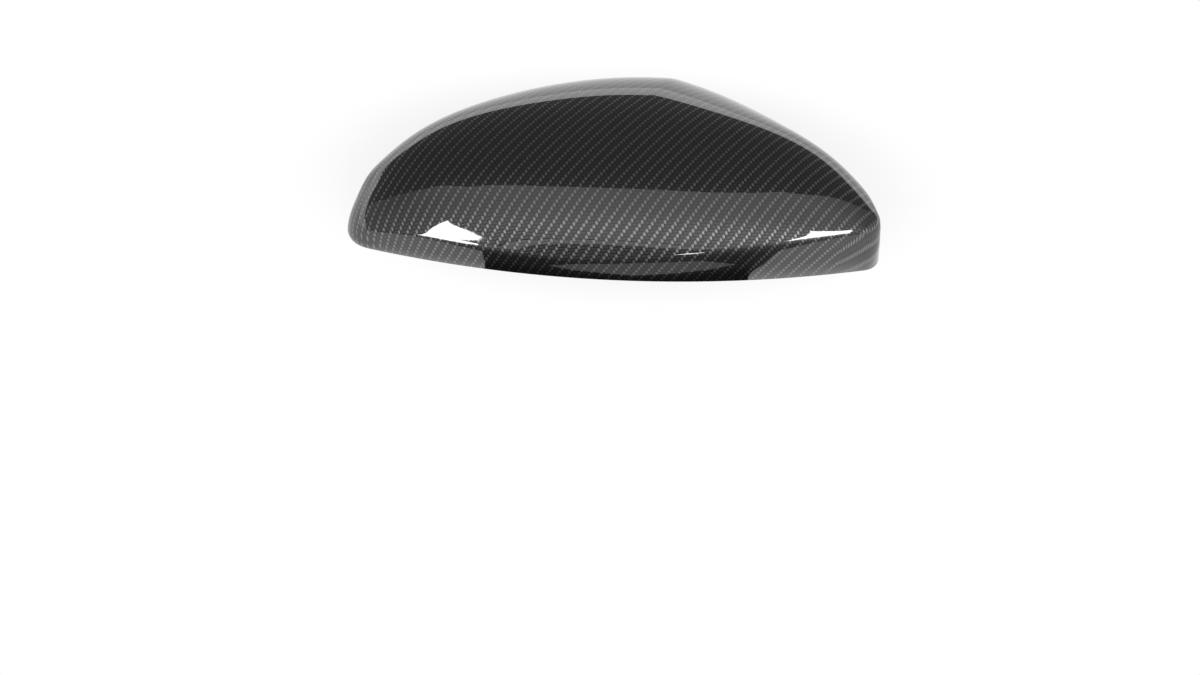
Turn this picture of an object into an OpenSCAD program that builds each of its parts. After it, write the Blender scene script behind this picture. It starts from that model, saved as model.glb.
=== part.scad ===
// Wing mirror cover: one thin moulded shell, open underneath.
// Frame: X runs along the long front edge, Y from that edge back to the tip,
// Z up from the flat rim. The origin is the middle of the rim's own box.

/* [Overall size] */
// length along the long front edge, mm
cover_length = 270; // [243:1:297]
// depth from the front edge back to the tip, mm
cover_depth = 139.5; // [126:0.5:153]
// height of the crown above the rim, mm
crown_height = 45.4; // [41:0.1:50]
// thickness of the laminate, mm
laminate = 1.6; // [1.2:0.1:2.2]
// width of the small bevel on both edges of the rim, mm
edge_break = 0.3; // [0.2:0.05:0.5]

/* [Rim outline] */
// place of the tip along the length, mm from the left end
tip_place = 164; // [148:0.5:180]
// how far the long front edge bows out, mm
front_bow = 17.7; // [14:0.1:21]
// how far the right-hand back edge bows out, mm
right_bow = 21.5; // [18:0.1:25]
// how far the left-hand back edge bows out, mm
left_bow = 33.7; // [29:0.1:38]
// corner radius at the left end, mm
left_radius = 15; // [11:0.5:19]
// corner radius at the right end, mm
right_radius = 9.3; // [7:0.1:13]
// corner radius at the tip, mm
tip_radius = 21.3; // [16:0.1:28]

/* [Upright wall] */
// wall height towards the right end, mm
wall_right = 21.4; // [18:0.1:25]
// wall height towards the right-hand back edge, mm
wall_back_right = 4.5; // [3.5:0.1:7]
// wall height at the tip, mm
wall_tip = 4.6; // [3.5:0.1:7]
// wall height towards the left-hand back edge, mm
wall_back_left = 14.3; // [12:0.1:17]
// wall height towards the left end, mm
wall_left = 18.2; // [15:0.1:21]
// wall height at the left of the front edge, mm
wall_front_left = 16.2; // [13.5:0.1:19]
// wall height at the middle of the front edge, mm
wall_front = 12.7; // [10.5:0.1:15]
// wall height at the right of the front edge, mm
wall_front_right = 25.7; // [22:0.1:28]
// inward lean of the wall, degrees
wall_draft = 0.6; // [0:0.1:1.5]

/* [Shoulder roundness] */
// roundness towards the right end, 1 is a crease and 2 an ellipse
round_right = 1.49; // [1.35:0.01:1.8]
// roundness towards the right-hand back edge
round_back_right = 1.56; // [1.4:0.01:1.9]
// roundness at the tip
round_tip = 1.74; // [1.5:0.01:2]
// roundness towards the left-hand back edge
round_back_left = 1.53; // [1.4:0.01:1.9]
// roundness towards the left end
round_left = 1.29; // [1.2:0.01:1.6]
// roundness at the left of the front edge
round_front_left = 1.08; // [1.05:0.01:1.4]
// roundness at the middle of the front edge
round_front = 1.12; // [1.08:0.01:1.5]
// roundness at the right of the front edge
round_front_right = 1.59; // [1.4:0.01:1.9]

/* [Left nose] */
// wall height where the left end is a full soft nose, mm
nose_wall = 2; // [1.5:0.1:5]
// roundness of that nose
nose_round = 1.96; // [1.7:0.01:2.2]
// how far round the end the nose fades out to each side, degrees
nose_spread = 23.4; // [18:0.1:28]

/* [Crown] */
// place of the crown along the length, mm from the left end
crown_along = 138.6; // [128:0.1:148]
// place of the crown back from the front edge, mm
crown_back = 52.8; // [48:0.1:58]
// half length of the oval that the upper rings turn into, mm
oval_long = 134.4; // [126:0.1:142]
// half width of that oval, mm
oval_wide = 54; // [50:0.5:58]
// height of the oval's own base line, mm
oval_base = 26; // [22:0.5:30]
// roundness of the oval
oval_round = 2.7; // [2.4:0.01:2.9]

/* [Hidden] */
black_laminate = [0.045, 0.045, 0.05];
half = 2;
circle_turn = 360;
half_turn = 180;
right_angle = 90;
eighth = 45;
directions = 8;
opposite = 4;

// Share of the rings' own shape that comes from the rim rises with this power.
rim_power = 3;
// The rings stand a little further apart at the shoulder than at the crown.
ring_spread = 0.8;
dome_rings = 20;
front_steps = 36;
right_steps = 24;
left_steps = 30;
corner_steps = 8;
// The sharp corners of the three-sided outline lie this far outside the rounded ends.
left_overrun = 5.2;
right_overrun = 1.9;
least_wall = 1.5;

// Rim outline: three bowed sides joined by three rounded corners

left_corner = [-left_overrun - cover_length / half, 0];
right_corner = [right_overrun + cover_length / half, 0];
tip_corner = [tip_place - cover_length / half, cover_depth - front_bow];

function unit(v) = v / norm(v);
function bow_radius(a, b, bow) = (norm(b - a) * norm(b - a) / 4 + bow * bow) / (half * bow);
function outward(a, b) = [unit(b - a).y, -unit(b - a).x];
function bow_centre(a, b, bow) =
    (a + b) / half - outward(a, b) * (bow_radius(a, b, bow) - bow);

front_r = bow_radius(left_corner, right_corner, front_bow);
front_c = bow_centre(left_corner, right_corner, front_bow);
right_r = bow_radius(right_corner, tip_corner, right_bow);
right_c = bow_centre(right_corner, tip_corner, right_bow);
left_r = bow_radius(tip_corner, left_corner, left_bow);
left_c = bow_centre(tip_corner, left_corner, left_bow);

// Centre of a corner circle that touches two bowed sides from inside.
function corner_centre(c1, r1, c2, r2, r, near) =
    let (
        gap = norm(c2 - c1),
        reach = r1 - r,
        other = r2 - r,
        along = (gap * gap + reach * reach - other * other) / (half * gap),
        across = sqrt(max(reach * reach - along * along, 0)),
        dir = unit(c2 - c1),
        side = [-dir.y, dir.x],
        first = c1 + along * dir + across * side,
        second = c1 + along * dir - across * side
    )
    norm(first - near) < norm(second - near) ? first : second;

left_end_c = corner_centre(left_c, left_r, front_c, front_r, left_radius, left_corner);
right_end_c = corner_centre(front_c, front_r, right_c, right_r, right_radius, right_corner);
tip_end_c = corner_centre(right_c, right_r, left_c, left_r, tip_radius, tip_corner);

function bearing(c, p) = atan2(p.y - c.y, p.x - c.x);
function turn(a, b) = (b - a + 3 * half_turn) % circle_turn - half_turn;

// Points along an arc from one bearing to another, the last one left out.
function arc(c, r, from, to, steps) =
    [for (s = [0 : steps - 1]) let (w = from + turn(from, to) * s / steps)
        c + r * [cos(w), sin(w)]];

drawn_rim = concat(
    arc(front_c, front_r, bearing(front_c, left_end_c), bearing(front_c, right_end_c), front_steps),
    arc(right_end_c, right_radius, bearing(front_c, right_end_c),
        bearing(right_c, right_end_c), corner_steps),
    arc(right_c, right_r, bearing(right_c, right_end_c), bearing(right_c, tip_end_c), right_steps),
    arc(tip_end_c, tip_radius, bearing(right_c, tip_end_c), bearing(left_c, tip_end_c), corner_steps),
    arc(left_c, left_r, bearing(left_c, tip_end_c), bearing(left_c, left_end_c), left_steps),
    arc(left_end_c, left_radius, bearing(left_c, left_end_c),
        bearing(front_c, left_end_c), corner_steps)
);

// The drawn outline is brought to the stated length and depth, about its own middle.
low_x = min([for (p = drawn_rim) p.x]);
low_y = min([for (p = drawn_rim) p.y]);
span_x = max([for (p = drawn_rim) p.x]) - low_x;
span_y = max([for (p = drawn_rim) p.y]) - low_y;
function placed(p) =
    [((p.x - low_x) / span_x - 1 / half) * cover_length,
     ((p.y - low_y) / span_y - 1 / half) * cover_depth];
rim = [for (p = drawn_rim) placed(p)];
places = len(rim);

// Values that change smoothly round the cover

crown = [crown_along - cover_length / half, crown_back - cover_depth / half];

walls = [wall_right, wall_back_right, wall_tip, wall_back_left,
         wall_left, wall_front_left, wall_front, wall_front_right];
rounds = [round_right, round_back_right, round_tip, round_back_left,
          round_left, round_front_left, round_front, round_front_right];

function total(list, i = 0) = i < len(list) ? list[i] + total(list, i + 1) : 0;

// A smooth closed curve through eight values: its weights first, then the curve.
spline_root = sqrt(3) - 2;
function weight(list, k) = total([for (j = [-opposite : opposite])
    list[(k + j + 2 * directions) % directions] * sqrt(3) * pow(spline_root, abs(j))]);
function bell(w) =
    abs(w) < 1 ? 2 / 3 - w * w + abs(w * w * w) / 2 :
    abs(w) < 2 ? pow(2 - abs(w), 3) / 6 : 0;
function around(weights, angle) = total([for (k = [0 : directions - 1])
    weights[k] * bell((angle / eighth - k + 2 * directions + opposite) % directions - opposite)]);

wall_weights = [for (k = [0 : directions - 1]) weight(walls, k)];
round_weights = [for (k = [0 : directions - 1]) weight(rounds, k)];

ray = [for (p = rim) unit(p - crown)];
function stretched(d) = atan2(d.y / oval_wide, d.x / oval_long);
angle = [for (d = ray) stretched(d)];

// Round the left end the wall gives way to a full soft nose, which fades out on both sides.
nose_angle = stretched(placed(left_end_c) - crown);
function nose(a) = pow(cos(right_angle * min(1, abs(turn(nose_angle, a)) / nose_spread)), 2);
function with_nose(value, at_nose, a) = value + (at_nose - value) * nose(a);
wall_here = [for (a = angle)
    max(least_wall, with_nose(around(wall_weights, a), nose_wall, a))];
round_here = [for (a = angle) with_nose(around(round_weights, a), nose_round, a)];
oval_reach = [for (d = ray) 1 / norm([d.x / oval_long, d.y / oval_wide])];
rim_reach = [for (i = [0 : places - 1])
    norm(rim[i] - crown) - wall_here[i] * tan(wall_draft)];

// Outside surface: ring 0 is the rim, ring 1 the top of the wall, then the dome

function swing(k) = right_angle * (1 - pow((k - 1) / dome_rings, ring_spread));

function dome_point(i, k) =
    let (
        s = sin(swing(k)),
        share = pow(s, rim_power),
        reach = s * (oval_reach[i] + (rim_reach[i] - oval_reach[i]) * share),
        base = oval_base + (wall_here[i] - oval_base) * share,
        bulge = oval_round + (round_here[i] - oval_round) * share,
        level = base + (crown_height - base) * pow(cos(swing(k)), 2 / bulge)
    )
    [crown.x + reach * ray[i].x, crown.y + reach * ray[i].y, level];

outer = [for (k = [0 : dome_rings])
    [for (i = [0 : places - 1]) k == 0 ? [rim[i].x, rim[i].y, 0] : dome_point(i, k)]];
top_point = [crown.x, crown.y, crown_height];

// Inside surface: the outside moved in by the laminate, square to itself

function ring_point(k, i) = k > dome_rings ? top_point : outer[k][(i + places) % places];

function facing(k, i) =
    let (
        here = ring_point(k, i),
        along = unit(ring_point(k, i + 1) - here) + unit(here - ring_point(k, i - 1)),
        up = k == 0 ? [0, 0, 1] :
            unit(ring_point(k + 1, i) - here) + unit(here - ring_point(k - 1, i))
    )
    unit(cross(along, up));

inner = [for (k = [0 : dome_rings])
    [for (i = [0 : places - 1]) outer[k][i] - laminate * facing(k, i)]];
inner_top = top_point - [0, 0, laminate];

// Closed skin: bevelled outer edge, outside, inside, bevelled inner edge

foot_out = [for (i = [0 : places - 1]) outer[0][i] - edge_break * facing(0, i)];
rim_out = [for (p = outer[0]) p + [0, 0, edge_break]];
rim_in = [for (p = inner[0]) p + [0, 0, edge_break]];
foot_in = [for (i = [0 : places - 1]) inner[0][i] + edge_break * facing(0, i)];

function flat(list) = [for (row = list) for (p = row) p];

outer_rings = concat([foot_out, rim_out], [for (k = [1 : dome_rings]) outer[k]]);
inner_rings = concat([foot_in, rim_in], [for (k = [1 : dome_rings]) inner[k]]);
rings = len(outer_rings);
skin_points = concat(flat(outer_rings), flat(inner_rings), [top_point, inner_top]);
inner_start = rings * places;
top_index = 2 * rings * places;

function at(start, k, i) = start + k * places + i % places;

outer_faces = [for (k = [0 : rings - 2]) for (i = [0 : places - 1]) for (f = [
    [at(0, k, i), at(0, k + 1, i), at(0, k + 1, i + 1)],
    [at(0, k, i), at(0, k + 1, i + 1), at(0, k, i + 1)]]) f];
inner_faces = [for (k = [0 : rings - 2]) for (i = [0 : places - 1]) for (f = [
    [at(inner_start, k, i), at(inner_start, k + 1, i + 1), at(inner_start, k + 1, i)],
    [at(inner_start, k, i), at(inner_start, k, i + 1), at(inner_start, k + 1, i + 1)]]) f];
seat_faces = [for (i = [0 : places - 1]) for (f = [
    [at(0, 0, i), at(0, 0, i + 1), at(inner_start, 0, i + 1)],
    [at(0, 0, i), at(inner_start, 0, i + 1), at(inner_start, 0, i)]]) f];
top_faces = [for (i = [0 : places - 1]) for (f = [
    [at(0, rings - 1, i), top_index, at(0, rings - 1, i + 1)],
    [at(inner_start, rings - 1, i), at(inner_start, rings - 1, i + 1), top_index + 1]]) f];

module cover_shell() {
    color(black_laminate)
        polyhedron(points = skin_points,
                   faces = concat(outer_faces, inner_faces, seat_faces, top_faces));
}

cover_shell();
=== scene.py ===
# %% [markdown]
# # A mirror cover of woven laminate under clear coat
# The part is one thin shell. It is held over the back of a wing mirror, so only its outside was meant
# to be seen: a twill cloth of black fibre, drowned in clear resin and polished until it mirrors the
# room. This lesson dresses the measured solid: it smooths the shell, drapes a cloth over it so that
# the weave follows the surface, wires the finishes, and lights them as in the studio shot.

# %% Load the measured solid
import math

import bpy
import numpy as np
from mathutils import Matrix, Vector
from mathutils.bvhtree import BVHTree


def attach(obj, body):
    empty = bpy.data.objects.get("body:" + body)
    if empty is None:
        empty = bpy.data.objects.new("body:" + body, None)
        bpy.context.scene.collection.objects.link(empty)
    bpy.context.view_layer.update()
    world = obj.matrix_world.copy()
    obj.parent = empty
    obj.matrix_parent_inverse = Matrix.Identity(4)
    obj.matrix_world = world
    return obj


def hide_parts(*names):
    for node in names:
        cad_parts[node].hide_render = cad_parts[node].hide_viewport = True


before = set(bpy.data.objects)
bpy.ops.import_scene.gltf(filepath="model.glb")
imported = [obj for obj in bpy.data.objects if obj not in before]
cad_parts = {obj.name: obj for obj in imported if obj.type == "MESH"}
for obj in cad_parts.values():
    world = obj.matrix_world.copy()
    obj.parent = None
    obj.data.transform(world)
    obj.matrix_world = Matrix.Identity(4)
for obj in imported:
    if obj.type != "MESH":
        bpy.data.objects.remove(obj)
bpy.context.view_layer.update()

# %% [markdown]
# ## The camera
# The shot looks down at about 48 degrees, and the far edge of the cover is nearly as large as the
# near one, so the lens was long. The picture can't tell a distance from a lens, so a short telephoto
# lens at a metre and a half is assumed. The camera could track an empty, but a fixed place and a
# fixed direction are easier to keep equal to the shot.

# %% Camera
CAMERA_PLACE = Vector((0.066555, -1.094497, 1.097720))
CAMERA_AIM = Vector((-0.046103, 0.667540, -0.743145))
FOCAL_LENGTH, SENSOR_WIDTH = 90.0, 36.0

bpy.ops.object.select_all(action="DESELECT")
bpy.ops.object.camera_add(location=CAMERA_PLACE)
camera = bpy.context.object
camera.name = "studio_camera"
camera.rotation_euler = CAMERA_AIM.to_track_quat("-Z", "Y").to_euler()
camera.data.lens = FOCAL_LENGTH
camera.data.sensor_width = SENSOR_WIDTH
bpy.context.scene.camera = camera
print("camera height, mm:", round(1000 * camera.location.z))

# %% [markdown]
# ## The laminate shell
# The solid is already the shape of the moulding, but it is made of flat triangles, and a clear coat
# shows every flat as a kink in its reflections. It could be remeshed, but that would lose the
# sharp foot. So a copy is sewn together, its triangles are paired into a grid of four-sided faces,
# and a Subdivision Surface turns that grid into one smooth skin.

# %% Two helpers for choosing
def only(piece):
    """Makes one object the selected and active one."""
    bpy.ops.object.select_all(action="DESELECT")
    piece.select_set(True)
    bpy.context.view_layer.objects.active = piece


def pick(piece, kind, test):
    """Selects the vertices, edges or faces of a piece that pass a test, and leaves edit mode on."""
    bpy.ops.object.mode_set(mode="EDIT")
    bpy.ops.mesh.select_mode(type=kind)
    bpy.ops.mesh.select_all(action="DESELECT")
    bpy.ops.object.mode_set(mode="OBJECT")
    parts = {"VERT": piece.data.vertices, "EDGE": piece.data.edges, "FACE": piece.data.polygons}[kind]
    chosen = 0
    for part in parts:
        part.select = bool(test(part))
        chosen += part.select
    bpy.ops.object.mode_set(mode="EDIT")
    return chosen


print("helpers:", only.__name__, pick.__name__)

# %% Copy the solid and sew its triangles
SEWING_GAP = 1e-6
shell = bpy.data.objects.new("laminate_shell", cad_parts["cover_shell"].data.copy())
bpy.context.scene.collection.objects.link(shell)
shell.data.materials.clear()
only(shell)
bpy.ops.object.mode_set(mode="EDIT")
bpy.ops.mesh.select_all(action="SELECT")
bpy.ops.mesh.remove_doubles(threshold=SEWING_GAP)
bpy.ops.object.mode_set(mode="OBJECT")
print("vertices after sewing:", len(shell.data.vertices))

# %% [markdown]
# ## From triangles back to a grid
# The solid was made in rings from the crown down to the foot and back up inside, with a fan of
# triangles at either end. So every vertex gets the number of its ring, counted outwards from the
# crown. An edge between two rings is either an upright of the grid or a diagonal. They alternate
# round the ring, and the diagonals are the longer half. Tris to Quads could guess this, but it pairs
# some triangles the wrong way on a curved surface, and one wrong pair shows in a mirror finish.

# %% Number the rings
FAN_SIZE = 50
neighbours = {vertex.index: [] for vertex in shell.data.vertices}
for edge in shell.data.edges:
    a, b = edge.vertices
    neighbours[a].append(b)
    neighbours[b].append(a)
poles = [v for v in neighbours if len(neighbours[v]) > FAN_SIZE]
poles.sort(key=lambda pole: -shell.data.vertices[pole].co.z)
ring_of = {poles[0]: 0}
outmost = [poles[0]]
while outmost:
    reached = []
    for vertex in outmost:
        for other in neighbours[vertex]:
            if other not in ring_of:
                ring_of[other] = ring_of[vertex] + 1
                reached.append(other)
    outmost = reached
print("rings of vertices from one pole to the other:", max(ring_of.values()) - 1)

# %% Take out the diagonals
def edge_length(ends):
    """The length of the edge between two vertices."""
    a, b = (shell.data.vertices[end].co for end in ends)
    return (a - b).length


beside = {}
for face in shell.data.polygons:
    if not set(poles).isdisjoint(face.vertices):
        continue
    across = [key for key in face.edge_keys if ring_of[key[0]] != ring_of[key[1]]]
    beside.setdefault(across[0], []).append(across[1])
    beside.setdefault(across[1], []).append(across[0])
diagonals = set()
waiting = set(beside)
while waiting:
    walk = [waiting.pop()]
    ahead = beside[walk[-1]]
    while ahead:
        waiting.discard(ahead[0])
        walk.append(ahead[0])
        ahead = [key for key in beside[walk[-1]] if key in waiting]
    diagonals.update(max(walk[0::2], walk[1::2], key=lambda half: sum(map(edge_length, half))))
chosen = pick(shell, "EDGE", lambda edge: edge.key in diagonals)
bpy.ops.mesh.dissolve_edges(use_verts=False)
bpy.ops.object.mode_set(mode="OBJECT")
print("diagonals taken out:", chosen)

# %% [markdown]
# ## The two crowns
# Long thin triangles that meet in a point pinch the reflection at the crown. So the innermost fan
# of each skin is taken out, and Grid Fill weaves the round hole shut with a small grid.

# %% Weave the two crowns shut
fan = pick(shell, "FACE", lambda face: not set(poles).isdisjoint(face.vertices))
bpy.ops.mesh.delete(type="FACE")
bpy.ops.object.mode_set(mode="OBJECT")
used = {}
for face in shell.data.polygons:
    for key in face.edge_keys:
        used[key] = used.get(key, 0) + 1
inmost = {key for key, count in used.items() if count == 1}
between_skins = sum(shell.data.vertices[key[0]].co.z for key in inmost) / len(inmost)
for upper in (True, False):
    count = pick(shell, "EDGE", lambda edge: edge.key in inmost and
                 (shell.data.vertices[edge.key[0]].co.z > between_skins) == upper)
    bpy.ops.mesh.fill_grid(span=count // 4)
    bpy.ops.object.mode_set(mode="OBJECT")
    print("closed a ring of", count, "edges")
sides = {len(face.vertices) for face in shell.data.polygons}
print("faces:", len(shell.data.polygons), " sides to a face:", sides, " fan faces taken out:", fan)

# %% [markdown]
# ## Smoothing, and three kinds of face
# Subdivision pulls a surface in where it turns sharply. The moulding's shoulder may soften a little,
# but the trimmed foot has to stay crisp, so its two bevelled edges get a full crease. The faces are
# sorted by place before the smoothing, because each new face inherits its parent's finish.

# %% Sort the faces, crease the foot, subdivide
FOOT = 0.0004
INSIDE_POINT = Vector((0.0036, -0.017, 0.0))
SHARP_TURN = math.radians(50)
GLOSS_SIDE, ROUGH_SIDE, CUT_EDGE = range(3)


def side_of(face):
    """Which finish a face gets, by its place and the way it points."""
    if face.center.z < FOOT:
        return CUT_EDGE
    return GLOSS_SIDE if face.normal.dot(face.center - INSIDE_POINT) > 0 else ROUGH_SIDE


for finish_name in ("gloss_twill", "rough_back", "cut_edge"):
    shell.data.materials.append(bpy.data.materials.new(finish_name))
for face in shell.data.polygons:
    face.material_index = side_of(face)
pick(shell, "EDGE", lambda edge: all(shell.data.vertices[v].co.z < FOOT for v in edge.vertices))
bpy.ops.transform.edge_crease(value=1.0)
bpy.ops.object.mode_set(mode="OBJECT")
smoother = shell.modifiers.new("smooth_skin", "SUBSURF")
smoother.levels = smoother.render_levels = 1
bpy.ops.object.modifier_apply(modifier=smoother.name)
bpy.ops.object.shade_smooth_by_angle(angle=SHARP_TURN)
counts = np.bincount([face.material_index for face in shell.data.polygons], minlength=3)
print("faces on the gloss side, the rough side and the cut edge:", counts.tolist())

# %% [markdown]
# ## Draping the cloth
# A flat picture of a weave, projected from above, would stretch where the shell turns down. Real
# cloth does not stretch: its threads keep their spacing and only the angle between them closes. So
# the cloth is laid as a fishing net. One warp and one weft thread start at the crown and run straight
# over the skin. Every other knot is then found from three neighbours: it has to lie on the skin, one
# cell from each of two of them. The net's coordinates, counted in tows, become the UV map.

# %% The skin that the net lies on
TOW = 0.0016
CELL = 0.0025
WEFT_TURN = math.radians(12.0)
CROWN = Vector((0.0036, -0.017, 0.05))
SKIRT = 0.03
NET_REACH = (76, 52)

points = [vertex.co.copy() for vertex in shell.data.vertices]
skin_faces = [list(face.vertices) for face in shell.data.polygons if face.material_index == GLOSS_SIDE]
rim_edges = {}
for face in skin_faces:
    for a, b in zip(face, face[1:] + face[:1]):
        rim_edges[frozenset((a, b))] = (a, b) if frozenset((a, b)) not in rim_edges else None
lowered = {}
for rim_edge in filter(None, rim_edges.values()):
    for end in rim_edge:
        if end not in lowered:
            lowered[end] = len(points)
            points.append(points[end] - Vector((0, 0, SKIRT)))
    a, b = rim_edge
    skin_faces.append([b, a, lowered[a], lowered[b]])
skin = BVHTree.FromPolygons(points, skin_faces)
print("faces to drape over, with a skirt below the rim:", len(skin_faces))


# %% The two first threads
CORRECTIONS = 4


def straight_thread(start, heading, count):
    """Knots one cell apart on the skin, from start straight on towards heading."""
    knots, at, way = [start], start, heading
    for _ in range(count):
        normal = skin.find_nearest(at)[1]
        way = (way - normal * way.dot(normal)).normalized()
        new = skin.find_nearest(at + way * CELL)[0]
        for _ in range(CORRECTIONS):
            step = new - at
            new = skin.find_nearest(at + step * (CELL / step.length))[0]
        way = (new - at).normalized()
        at = new
        knots.append(at)
    return knots


start = skin.ray_cast(CROWN, Vector((0, 0, -1)))[0]
weft_way = Vector((math.cos(WEFT_TURN), math.sin(WEFT_TURN), 0))
warp_way = Vector((-math.sin(WEFT_TURN), math.cos(WEFT_TURN), 0))
net = {}
for sign in (1, -1):
    for n, knot in enumerate(straight_thread(start, sign * weft_way, NET_REACH[0])):
        net[sign * n, 0] = knot
    for n, knot in enumerate(straight_thread(start, sign * warp_way, NET_REACH[1])):
        net[0, sign * n] = knot
print("knots on the two first threads:", len(net))


# %% Every other knot
TIE_STEPS = 8
LOCKED = 0.03
LOOSE = 0.15
LOWEST_KNOT = -0.6 * SKIRT


def tie(a, b, guess):
    """The point on the skin near guess that is one cell from a and from b, or nothing."""
    for _ in range(TIE_STEPS):
        at, normal = skin.find_nearest(guess)[:2]
        to_a, to_b = at - a, at - b
        way_a = to_a - normal * to_a.dot(normal)
        way_b = to_b - normal * to_b.dot(normal)
        aa, ab, bb = way_a.dot(way_a), way_a.dot(way_b), way_b.dot(way_b)
        spread = aa * bb - ab * ab
        if spread < LOCKED * aa * bb:
            return None
        need_a = (CELL ** 2 - to_a.dot(to_a)) / 2
        need_b = (CELL ** 2 - to_b.dot(to_b)) / 2
        along_a, along_b = need_a * bb - need_b * ab, need_b * aa - need_a * ab
        guess = at + (way_a * along_a + way_b * along_b) / spread
    at = skin.find_nearest(guess)[0]
    off = max(abs((at - a).length - CELL), abs((at - b).length - CELL))
    return at if off < LOOSE * CELL else None


for right in (1, -1):
    for back in (1, -1):
        for i in range(1, NET_REACH[0] + 1):
            for j in range(1, NET_REACH[1] + 1):
                a, b = net.get((right * (i - 1), back * j)), net.get((right * i, back * (j - 1)))
                corner = net.get((right * (i - 1), back * (j - 1)))
                if None in (a, b, corner) or max(a.z, b.z) < LOWEST_KNOT:
                    continue
                knot = tie(a, b, a + b - corner)
                if knot is not None:
                    net[right * i, back * j] = knot
print("knots in the net:", len(net))

# %% Read every vertex's place in the cloth
number_of = {place: n for n, place in enumerate(net)}
knots = list(net.values())
cells = []
for i, j in net:
    square = [(i, j), (i + 1, j), (i + 1, j + 1), (i, j + 1)]
    if all(place in number_of for place in square):
        a, b, c, d = (number_of[place] for place in square)
        cells += [(a, b, c), (a, c, d)]
cloth = BVHTree.FromPolygons(knots, cells)
places = np.array(list(net)) * (CELL / TOW)
tows = np.zeros((len(shell.data.vertices), 2))
gap = 0.0
for vertex in shell.data.vertices:
    at, normal, cell, off = cloth.find_nearest(vertex.co)
    p, q, r = (knots[k] for k in cells[cell])
    area = (q - p).cross(r - p)
    weights = [(r - q).cross(at - q).dot(area), (p - r).cross(at - r).dot(area),
               (q - p).cross(at - p).dot(area)]
    tows[vertex.index] = np.dot(weights, places[list(cells[cell])]) / area.dot(area)
    gap = max(gap, off)
print("cells:", len(cells) // 2, " furthest vertex from the net, mm:", round(1000 * gap, 2))

# %% [markdown]
# ## Where the cloth locks
# A net can't go round a tall square corner: its threads close up like scissors until they lock, and
# beyond that the map jumps. A laminator cuts a dart there, or pulls the cloth until it gives. Here
# it gives: where two neighbours lie much further apart in the cloth than on the shell, their places
# are averaged with those around them, many times over, until the map no longer jumps. The stripes
# still bend sharply where the eased cloth begins.

# %% Ease the cloth where the net locks
STRETCH, SLACK = 1.5, 0.0002
RINGS_AROUND, PASSES = 2, 120
linked = {vertex.index: set() for vertex in shell.data.vertices}
for edge in shell.data.edges:
    a, b = edge.vertices
    linked[a].add(b)
    linked[b].add(a)
places_of = [vertex.co for vertex in shell.data.vertices]
torn = {a for a in linked for b in linked[a]
        if np.hypot(*(tows[a] - tows[b])) * TOW > STRETCH * (places_of[a] - places_of[b]).length + SLACK}
for _ in range(RINGS_AROUND):
    torn |= {b for a in torn for b in linked[a]}
for _ in range(PASSES):
    for a in torn:
        weights = {b: 1.0 / max((places_of[a] - places_of[b]).length, 1e-5) for b in linked[a]}
        tows[a] = sum(tows[b] * weights[b] for b in linked[a]) / sum(weights.values())
print("vertices eased:", len(torn))

# %% Keep it as the cloth map
uv_map = shell.data.uv_layers.get("cloth") or shell.data.uv_layers.new(name="cloth")
corner_vertex = np.zeros(len(shell.data.loops), int)
shell.data.loops.foreach_get("vertex_index", corner_vertex)
uv_map.data.foreach_set("uv", tows[corner_vertex].astype(np.float32).ravel())
print("tows along and across:", np.ptp(tows, axis=0).round().tolist())

# %% [markdown]
# ## Wiring by arithmetic
# A weave is a sum: which tow, how far along it, which tow is on top. Such sums are hard to read as
# dozens of boxes, so a small class lets a socket be used in a Python expression, and each sign adds
# the Math node that does it.

# %% A socket that can be added, multiplied and compared
def fill(node, inputs):
    """Gives the sockets of a node their values or their links."""
    for name, value in inputs.items():
        if isinstance(value, Wire):
            value.tree.links.new(value.socket, node.inputs[name])
        else:
            node.inputs[name].default_value = value


class Wire:
    """One output socket of a material that is being wired."""

    def __init__(self, tree, socket=None):
        self.tree, self.socket = tree, socket

    def node(self, kind, settings=None, inputs=None, outlet=0):
        """Adds any node: its type, its settings, then the values or links of its sockets."""
        made = self.tree.nodes.new(kind)
        for name, value in (settings or {}).items():
            setattr(made, name, value)
        fill(made, inputs or {})
        return Wire(self.tree, made.outputs[outlet])

    def maths(self, operation, *values):
        return self.node("ShaderNodeMath", {"operation": operation}, dict(enumerate(values)))

    def __add__(self, other):
        return self.maths("ADD", self, other)

    def __sub__(self, other):
        return self.maths("SUBTRACT", self, other)

    def __rsub__(self, other):
        return self.maths("SUBTRACT", other, self)

    def __mul__(self, other):
        return self.maths("MULTIPLY", self, other)

    def __mod__(self, other):
        return self.maths("FLOORED_MODULO", self, other)

    def __lt__(self, other):
        return self.maths("LESS_THAN", self, other)

    def __gt__(self, other):
        return self.maths("GREATER_THAN", self, other)

    def __pow__(self, other):
        return self.maths("POWER", self, other)

    __radd__, __rmul__ = __add__, __mul__

    def floor(self):
        return self.maths("FLOOR", self)

    def size(self):
        return self.maths("ABSOLUTE", self)

    def at_least(self, low):
        return self.maths("MAXIMUM", self, low)

    def at_most(self, high):
        return self.maths("MINIMUM", self, high)

    def clamped(self):
        return self.at_least(0.0).at_most(1.0)

    def choose(self, where_one, where_nought):
        """where_one if this mask is 1, where_nought if it is 0, and a blend in between."""
        inputs = {0: self, 2: where_nought, 3: where_one}
        return self.node("ShaderNodeMix", {"data_type": "FLOAT"}, inputs)

    def tint(self, dark, light):
        """A colour from dark to light as this value goes from 0 to 1."""
        inputs = {0: self, 6: (*dark, 1.0), 7: (*light, 1.0)}
        return self.node("ShaderNodeMix", {"data_type": "RGBA"}, inputs, 2)


def bench(finish_name):
    """The empty wire, the Principled shader and the tree of a new finish."""
    finish = bpy.data.materials[finish_name]
    finish.use_nodes = True
    tree = finish.node_tree
    return Wire(tree), tree.nodes["Principled BSDF"], tree


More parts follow.
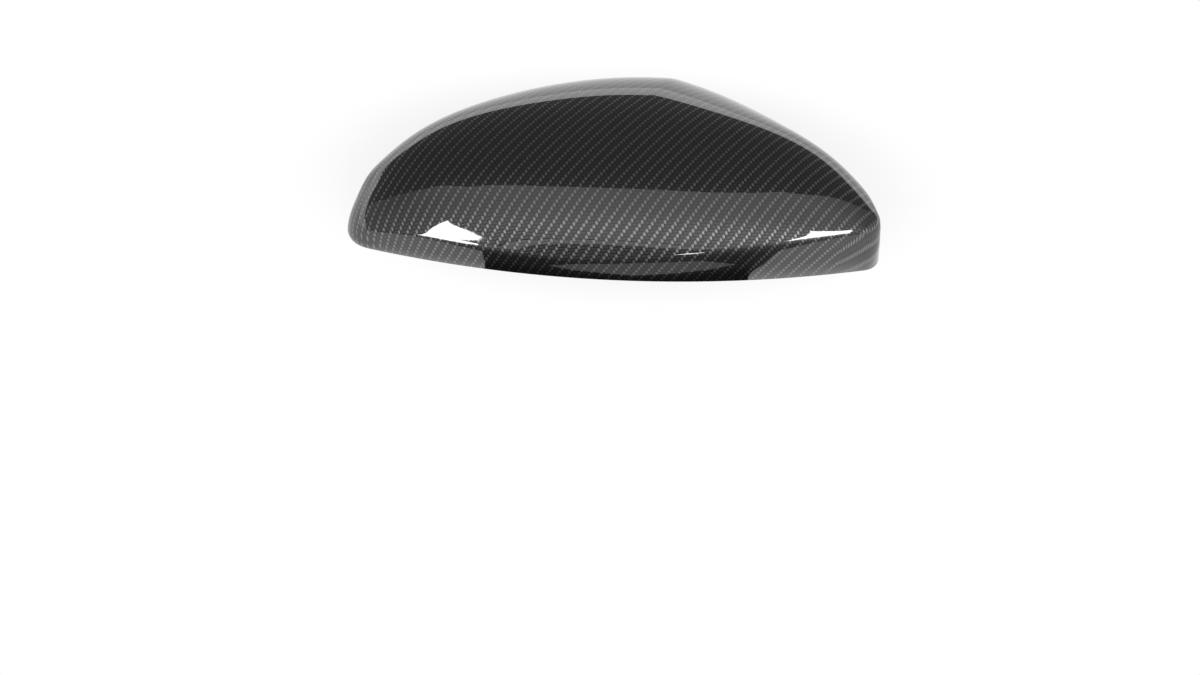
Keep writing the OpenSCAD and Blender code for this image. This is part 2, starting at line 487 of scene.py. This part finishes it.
def cloth_place(wire):
    """The two tow coordinates of the cloth."""
    uv = wire.node("ShaderNodeUVMap", {"uv_map": "cloth"})
    along, across = (wire.node("ShaderNodeSeparateXYZ", {}, {0: uv}, n) for n in (0, 1))
    return along, across


def object_place(wire):
    """The place in the object's own coordinates."""
    return wire.node("ShaderNodeTexCoord", {}, {}, 3)


def noise(wire, place, scale, detail, distortion=0.0):
    """Noise from 0 to 1 at a place."""
    return wire.node("ShaderNodeTexNoise", {}, {"Vector": place, "Scale": scale, "Detail": detail,
                                                "Distortion": distortion})


print("methods of a wire:", sorted(name for name, made in vars(Wire).items() if callable(made)))

# %% [markdown]
# ## The gloss side: two-by-two twill
# Each tow is a flat ribbon of fine fibres that goes over two tows and under two, one step further on
# in every row, which draws the diagonal ribs. Black fibres shine like brushed metal, along the top of
# each float and in the warp more than in the weft, because of the way that the two lie to the light.
# So the base is a rough metal with a painted sheen in its colour: bright on the tops of the floats
# and nearly black between them, and brighter in the warp than in the weft, which stands in for the way
# the fibres lie to the light. Its edge tint is dark, since resin hides the fibres at a low angle. A
# picture of the weave would do for one view, but this stays sharp at any distance. A float also
# arches over its neighbours and its section is a low lens. A Normal Map takes those slopes directly,
# where a Bump node would blur them from afar.
# The clear coat above stays perfectly smooth.

# %% Gloss twill
REPEAT = 4.0
ARCH, CROWNED, FACING = 0.12, 0.26, 0.97
FIBRES_ACROSS, FIBRES_ALONG, WARP_SHIFT, FIBRE_RELIEF = 11.0, 0.7, 7.0, 0.09
WEFT_SHINE, FIBRE_SHINE, FLOAT_FADE = 0.16, 1.2, 2.5
DARK_FIBRE, SHEEN_PEAK_FIBRE = (0.016, 0.016, 0.017), (0.21, 0.21, 0.215)


def bend(offset, start, growth):
    """The slope of a low arch at an offset from its top: gentle in the middle, steeper outwards."""
    return offset * (start + offset * offset * growth)


wire, shader, tree = bench("gloss_twill")
u, v = cloth_place(wire)
warp, weft = u.floor(), v.floor()
along_warp, along_weft = (v - warp) % REPEAT, (u - weft - 1.0) % REPEAT
warp_up = along_warp < REPEAT / 2
across = warp_up.choose(u - warp, v - weft) - 0.5
along = warp_up.choose(along_warp, along_weft) * 0.5 - 0.5

fibre_place = wire.node("ShaderNodeCombineXYZ", {}, {
    0: warp_up.choose(u, v) * FIBRES_ACROSS, 1: warp_up.choose(v, u) * FIBRES_ALONG,
    2: warp_up * WARP_SHIFT})
fibre = noise(wire, fibre_place, 1.0, 2.0) - 0.5

slope_across = bend(across, 0.6, 5.6) * CROWNED + fibre * FIBRE_RELIEF
slope_along = bend(along, 0.8, 4.8) * ARCH
slope_u = warp_up.choose(slope_across, slope_along)
slope_v = warp_up.choose(slope_along, slope_across)
slopes = wire.node("ShaderNodeCombineColor", {}, {0: slope_u * 0.5 + 0.5, 1: slope_v * 0.5 + 0.5,
                                                  2: FACING})
relief = wire.node("ShaderNodeNormalMap", {"uv_map": "cloth"}, {"Color": slopes})

# Painted sheen: a bright blob on the top of each float, brighter in the warp than in the weft, painted
# into the metal's base colour.
sheen_blob = (1.0 - across * across * 4.0) * (1.0 - along * along * 4.0) ** FLOAT_FADE
painted_sheen = (sheen_blob * warp_up.choose(1.0, WEFT_SHINE) * (1.0 + fibre * FIBRE_SHINE)).clamped()
fill(shader, {"Base Color": painted_sheen.tint(DARK_FIBRE, SHEEN_PEAK_FIBRE), "Normal": relief,
              "Metallic": 1.0, "Roughness": 0.42, "IOR": 1.5, "Specular Tint": (0.45, 0.45, 0.45, 1.0),
              "Coat Weight": 1.0, "Coat Roughness": 0.02, "Coat IOR": 1.72})
print("nodes in the gloss twill:", len(tree.nodes))

# %% [markdown]
# ## The back: plain cloth in dull resin
# Nobody polishes the side that faces the mirror. The peel cloth that was pulled off it has left a
# print there: every second knot of a plain weave stands out as a round dot, under a thin uneven skin
# of resin. Short scratches and stray fibres lie over it, and bright specks are painted into its colour
# as glints of grit. The dots could be modelled, but there are thousands of them, and they hardly
# stand out from the resin, so a Bump node does it.

# %% Rough back
BACK_TOW = 0.0017
LOW_KNOT = 0.12
GRIT_SCALE, CLOUD_SCALE, PATCH_SCALE = 900.0, 28.0, 75.0
SCRATCHES = [(1.1, 60.0, 0.54), (1.9, 75.0, 0.56), (0.3, 50.0, 0.58)]
SCRATCH_LENGTH, SCRATCH_THINNESS = 0.07, 230.0
DULL_RESIN, BRIGHT_SCRATCH_AND_GLINT = (0.010, 0.010, 0.011), (0.30, 0.30, 0.305)

wire, shader, tree = bench("rough_back")
u, v = (place * (TOW / BACK_TOW) for place in cloth_place(wire))
warp, weft = u.floor(), v.floor()
warp_up = (warp + weft) % 2.0
rise_u, rise_v = ((place - number - 0.5) * 2.0 for place, number in ((u, warp), (v, weft)))
knob = (1.0 - rise_u * rise_u) * (1.0 - rise_v * rise_v) * warp_up.choose(1.0, LOW_KNOT)
place = object_place(wire)
grit = noise(wire, place, GRIT_SCALE, 3.0)
cloud = noise(wire, place, CLOUD_SCALE, 4.0)
patch = noise(wire, place, PATCH_SCALE, 1.0)
# Painted glints: bright specks of grit, in patches, painted into the colour.
painted_glints = ((grit - 0.62) * 9.0).clamped() * ((cloud - 0.45) * 4.0).clamped()


def scratches(turn, scale, low):
    """Thin bright strokes: the zero line of a stretched noise, cut short by patches."""
    stretch = (scale, scale * SCRATCH_LENGTH, scale)
    turned = wire.node("ShaderNodeMapping", {}, {"Vector": place, "Rotation": (0.0, 0.0, turn),
                                                 "Scale": stretch})
    field = noise(wire, turned, 1.0, 0.0, 0.15)
    stroke = (1.0 - (field - 0.5).size() * SCRATCH_THINNESS).at_least(0.0)
    return stroke * ((patch - low) * 12.0).clamped()


lines = scratches(*SCRATCHES[0])
for strokes in SCRATCHES[1:]:
    lines = lines + scratches(*strokes)
height = knob * 0.7 + grit * 0.3
bump = wire.node("ShaderNodeBump", {}, {"Height": height, "Distance": 0.0005, "Strength": 0.9})
cloth_tone = knob * (0.2 + grit * 0.5) + grit * 0.12 + cloud * 0.12 - 0.08
# The light end of this tint serves the real scratches and the painted glints alike.
tone = cloth_tone + lines.at_most(1.0) * 0.8 + painted_glints * 0.4
fill(shader, {"Base Color": tone.clamped().tint(DULL_RESIN, BRIGHT_SCRATCH_AND_GLINT),
              "Roughness": 0.36 + grit * 0.3, "Normal": bump})
print("nodes in the rough back:", len(tree.nodes))

# %% [markdown]
# ## The cut edge
# Where the shell was trimmed and sanded, the cut ends of the cloth's layers show as a fine dull
# grain. The edge is only 1.6 mm wide, so two scales of noise are enough for it.

# %% Cut edge
SANDING_SCALE, LAYER_SCALE = 1400.0, 2600.0
DARK_CUT, PALE_CUT = (0.015, 0.015, 0.016), (0.07, 0.07, 0.07)

wire, shader, tree = bench("cut_edge")
place = object_place(wire)
sanding = noise(wire, place, SANDING_SCALE, 2.0)
layers = noise(wire, place, LAYER_SCALE, 0.0)
tone = sanding * 0.6 + layers * 0.4
bump = wire.node("ShaderNodeBump", {}, {"Height": sanding, "Distance": 0.0001, "Strength": 0.5})
fill(shader, {"Base Color": tone.tint(DARK_CUT, PALE_CUT), "Normal": bump, "Roughness": 0.55})
print("nodes in the cut edge:", len(tree.nodes))

# %% [markdown]
# ## The studio: the floor
# A glossy black thing shows almost nothing of itself: it shows the room. So the room is built with
# care, as a photographer would, from a table, walls, lights and cards. The table is white. Its glow,
# for the camera and for mirrored and refracted rays alone, makes the background white without more
# light on the part. Close round the part the glow fades a little, so that the shadow shows.

# %% Floor
WHITE, BLACK = (1.0, 1.0, 1.0, 1.0), (0.0, 0.0, 0.0, 1.0)
ROUND = 96
FLOOR_RADIUS = 14.0
TABLE_WHITE = 0.86
OVAL = 1.9
NEAR_GLOW, FAR_GLOW = (0.12, 0.86), (0.175, 1.0)

bpy.ops.object.select_all(action="DESELECT")
bpy.ops.mesh.primitive_circle_add(vertices=ROUND, radius=FLOOR_RADIUS, fill_type="NGON")
floor = bpy.context.object
floor.name = "pale_floor"
floor.data.materials.append(bpy.data.materials.new("floor_white"))
wire, shader, tree = bench("floor_white")
tree.nodes.remove(shader)
matt = wire.node("ShaderNodeBsdfDiffuse", {}, {"Color": (TABLE_WHITE, TABLE_WHITE, TABLE_WHITE, 1.0)})
glow = wire.node("ShaderNodeEmission", {}, {"Color": WHITE, "Strength": 1.0})
seen, mirrored, through = (wire.node("ShaderNodeLightPath", {}, {}, n) for n in (0, 3, 6))
oval = wire.node("ShaderNodeMapping", {}, {"Vector": object_place(wire), "Scale": (1.0, OVAL, 1.0)})
reach = wire.node("ShaderNodeVectorMath", {"operation": "LENGTH"}, {0: oval}, 1)
far = wire.node("ShaderNodeMapRange", {"interpolation_type": "SMOOTHSTEP"},
                {"Value": reach, "From Min": NEAR_GLOW[0], "From Max": FAR_GLOW[0],
                 "To Min": NEAR_GLOW[1], "To Max": FAR_GLOW[1]})
lit = (seen + mirrored + through).at_most(1.0) * far
mixed = wire.node("ShaderNodeMixShader", {}, {0: lit, 1: matt, 2: glow})
fill(tree.nodes["Material Output"], {"Surface": mixed})
print("floor radius, m:", FLOOR_RADIUS)

# %% [markdown]
# ## The white room and the black drapes
# The border of the cover mirrors a low band of white that runs all round, and the crown mirrors the
# dark above it. So a white world stands outside, and a drum of dark drapes leaves only the low band
# open. On the camera's side the drapes reach the floor. They are hidden from the camera alone, as
# drapes stand outside the picture. The stray light that falls on them is written down as a faint
# glow of their own, because traced light would come back from them as grain in the mirror finish.

# %% White world
ROOM_LIGHT = 1.5
world = bpy.data.worlds.new("white_room")
bpy.context.scene.world = world
world.use_nodes = True
fill(world.node_tree.nodes["Background"], {"Color": WHITE, "Strength": ROOM_LIGHT})
print("world strength:", ROOM_LIGHT)

# %% Black drum
DRUM = 13.0
BAND = math.radians(11.0)
CEILING = 4.0
CAMERA_SIDE = -6.0
STRAY_LIGHT = 0.16

bpy.ops.object.select_all(action="DESELECT")
low = DRUM * math.tan(BAND)
bpy.ops.mesh.primitive_cylinder_add(vertices=ROUND, radius=DRUM, depth=CEILING - low,
                                    location=(0, 0, (low + CEILING) / 2), end_fill_type="NGON")
drum = bpy.context.object
drum.name = "black_drapes"
bpy.ops.object.transform_apply(location=True, rotation=True, scale=True)
pick(drum, "FACE", lambda face: face.normal.z < -0.9)
bpy.ops.mesh.delete(type="ONLY_FACE")
bpy.ops.object.mode_set(mode="OBJECT")
pick(drum, "VERT", lambda vertex: vertex.co.z < low + 0.01 and vertex.co.y < CAMERA_SIDE)
bpy.ops.transform.translate(value=(0, 0, -low))
bpy.ops.object.mode_set(mode="OBJECT")
drum.data.materials.append(bpy.data.materials.new("black_cloth"))
fill(bench("black_cloth")[1], {"Base Color": BLACK, "Specular IOR Level": 0.0,
                               "Emission Color": WHITE, "Emission Strength": STRAY_LIGHT})
drum.visible_camera = False
print("open band, degrees:", round(math.degrees(BAND)))

# %% [markdown]
# ## The big soft light
# One very large soft light hangs over the camera and comes down behind it to the floor. It is the
# grey field on the lower half of the cover. Its far edge is curved, because the border of that field
# is: every point of the edge stands where the cover mirrors it. The light fades towards its two
# ends, as real ones do. An area lamp is always a rectangle or an ellipse, so this is a glowing mesh.

# %% Big soft light
FAR_EDGE = [(-9.0, 3.2), (-5.3, 1.7), (-3.5, 0.77), (-2.3, 0.4), (-1.65, 0.1), (-0.85, -0.2),
            (-0.5, 0.1), (-0.2, 0.35), (0.0, 0.45), (0.2, 0.45), (0.35, 0.55), (0.66, 1.05),
            (1.3, 1.9), (2.0, 2.7), (3.8, 4.5), (7.5, 9.0)]
HEIGHT, FOLD, NEAR_END, NEAR_HEIGHT = 2.2, -1.5, -6.0, 0.07
PANEL_RADIANCE = 0.82
FADE_START, FADE_END, FADED = 0.3, 2.2, 0.5

bpy.ops.object.select_all(action="DESELECT")
bpy.ops.mesh.primitive_grid_add(x_subdivisions=len(FAR_EDGE) - 1, y_subdivisions=2, size=1.0)
panel = bpy.context.object
panel.name = "big_soft_light"
columns = sorted({round(vertex.co.x, 4) for vertex in panel.data.vertices})
for vertex in panel.data.vertices:
    x, far_y = FAR_EDGE[columns.index(round(vertex.co.x, 4))]
    row = round(vertex.co.y * 2)
    vertex.co = {1: Vector((x, far_y, HEIGHT)), 0: Vector((x, FOLD, HEIGHT)),
                 -1: Vector((x, NEAR_END, NEAR_HEIGHT))}[row]
panel.data.materials.append(bpy.data.materials.new("soft_light_cloth"))
wire, shader, tree = bench("soft_light_cloth")
sideways = wire.node("ShaderNodeSeparateXYZ", {}, {0: object_place(wire)}).size()
fading = wire.node("ShaderNodeMapRange", {"interpolation_type": "SMOOTHSTEP"},
                   {"Value": sideways, "From Min": FADE_START, "From Max": FADE_END})
fill(shader, {"Base Color": BLACK, "Specular IOR Level": 0.0,
              "Emission Color": fading.tint(WHITE[:3], (FADED, FADED, FADED)),
              "Emission Strength": PANEL_RADIANCE})
panel.visible_camera = False
print("big soft light, m across:", FAR_EDGE[-1][0] - FAR_EDGE[0][0])

# %% [markdown]
# ## Small lights and cards
# Two small lights stand low at either side of the camera and give the two white glints on the
# shoulder. A black card lies in front of the part and under its front edge. It darkens the wall
# there, and its two wings draw the thin dark line below each glint. On it, a narrow pale card, which
# glows a little as painted light, draws the pale lens low on that wall, and a tiny light the glint
# above it. Only mirrored rays meet the cards, so they don't darken the table, and it does no harm
# that the black one lies 0.3 mm up, so that the foot stands in it.

# %% Small soft lights
EYE_POINT = Vector((0.0, -0.06, 0.02))
SMALL_RADIANCE = 15.0
LEFT_SHAPE = [(-25.0, 9.5), (-23.7, 19.0), (-22.3, 16.0), (-15.6, 2.5), (-15.6, 0.3), (-27.0, 0.3)]
RIGHT_SHAPE = [(14.0, 0.3), (16.5, 20.0), (19.0, 34.0), (26.0, 30.0), (24.0, 0.3)]


def sheet(name, corners, finish_name):
    """A flat sheet with the given corners, which the camera does not see."""
    bpy.ops.object.select_all(action="DESELECT")
    bpy.ops.mesh.primitive_circle_add(vertices=len(corners), radius=1.0, fill_type="NGON")
    made = bpy.context.object
    made.name = name
    for vertex, corner in zip(made.data.vertices, corners):
        vertex.co = corner
    made.data.materials.append(bpy.data.materials[finish_name])
    made.visible_camera = made.visible_shadow = False
    return made


def towards(azimuth, elevation, distance=3.0):
    """A place seen from the object at these angles in degrees, counted from the camera's side."""
    turn, rise = math.radians(azimuth), math.radians(elevation)
    return EYE_POINT + distance * Vector((math.sin(turn) * math.cos(rise),
                                          -math.cos(turn) * math.cos(rise), math.sin(rise)))


bpy.data.materials.new("small_soft_light")
wire, shader, tree = bench("small_soft_light")
tree.nodes.remove(shader)
glow = wire.node("ShaderNodeEmission", {}, {"Color": WHITE, "Strength": SMALL_RADIANCE})
fill(tree.nodes["Material Output"], {"Surface": glow})
for side, shape in (("left", LEFT_SHAPE), ("right", RIGHT_SHAPE)):
    light = sheet(side + "_soft_light", [towards(*corner) for corner in shape], "small_soft_light")
    print(light.name, "has", len(shape), "corners")

# %% Cards
BLACK_SHAPE = [(-0.060, -0.06), (-0.070, -0.085), (-0.16, -0.125), (-0.9, -0.7), (-0.6, -0.9),
               (-0.13, -0.42), (0.16, -0.42), (0.6, -0.9), (0.9, -0.7), (0.18, -0.13),
               (0.092, -0.085), (0.064, -0.06)]
PALE_SHAPE = [(-0.032, -0.0765), (-0.008, -0.084), (0.015, -0.088), (0.045, -0.085),
              (0.066, -0.0775), (0.035, -0.0730), (0.012, -0.0715)]
GLINT_SHAPE = [(0.034, -0.165), (0.042, -0.18), (0.054, -0.175), (0.054, -0.165), (0.044, -0.158)]
LIFT = 0.0003
PAPER_BLACK = (0.01, 0.01, 0.01, 1.0)
PALE_RADIANCE = 0.5

for paper in ("black_paper", "glowing_pale_paper"):
    bpy.data.materials.new(paper)
fill(bench("black_paper")[1], {"Base Color": PAPER_BLACK})
# Painted light: the pale paper glows a little of its own, so that the wall mirrors it as a pale lens.
fill(bench("glowing_pale_paper")[1], {"Base Color": BLACK, "Emission Color": WHITE,
                              "Emission Strength": PALE_RADIANCE})
cards = [("black_card", BLACK_SHAPE, "black_paper"), ("glowing_pale_card", PALE_SHAPE, "glowing_pale_paper"),
         ("small_glint", GLINT_SHAPE, "small_soft_light")]
for layer, (name, shape, finish_name) in enumerate(cards, start=1):
    card = sheet(name, [Vector((x, y, layer * LIFT)) for x, y in shape], finish_name)
    card.visible_diffuse = False
print("cards on the table:", len(cards))

# %% [markdown]
# ## Hand over
# The shell takes the place of the measured solid and rides on its body.

# %% Hand over
bpy.context.scene.view_settings.view_transform = "Standard"
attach(shell, "root")
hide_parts("cover_shell")
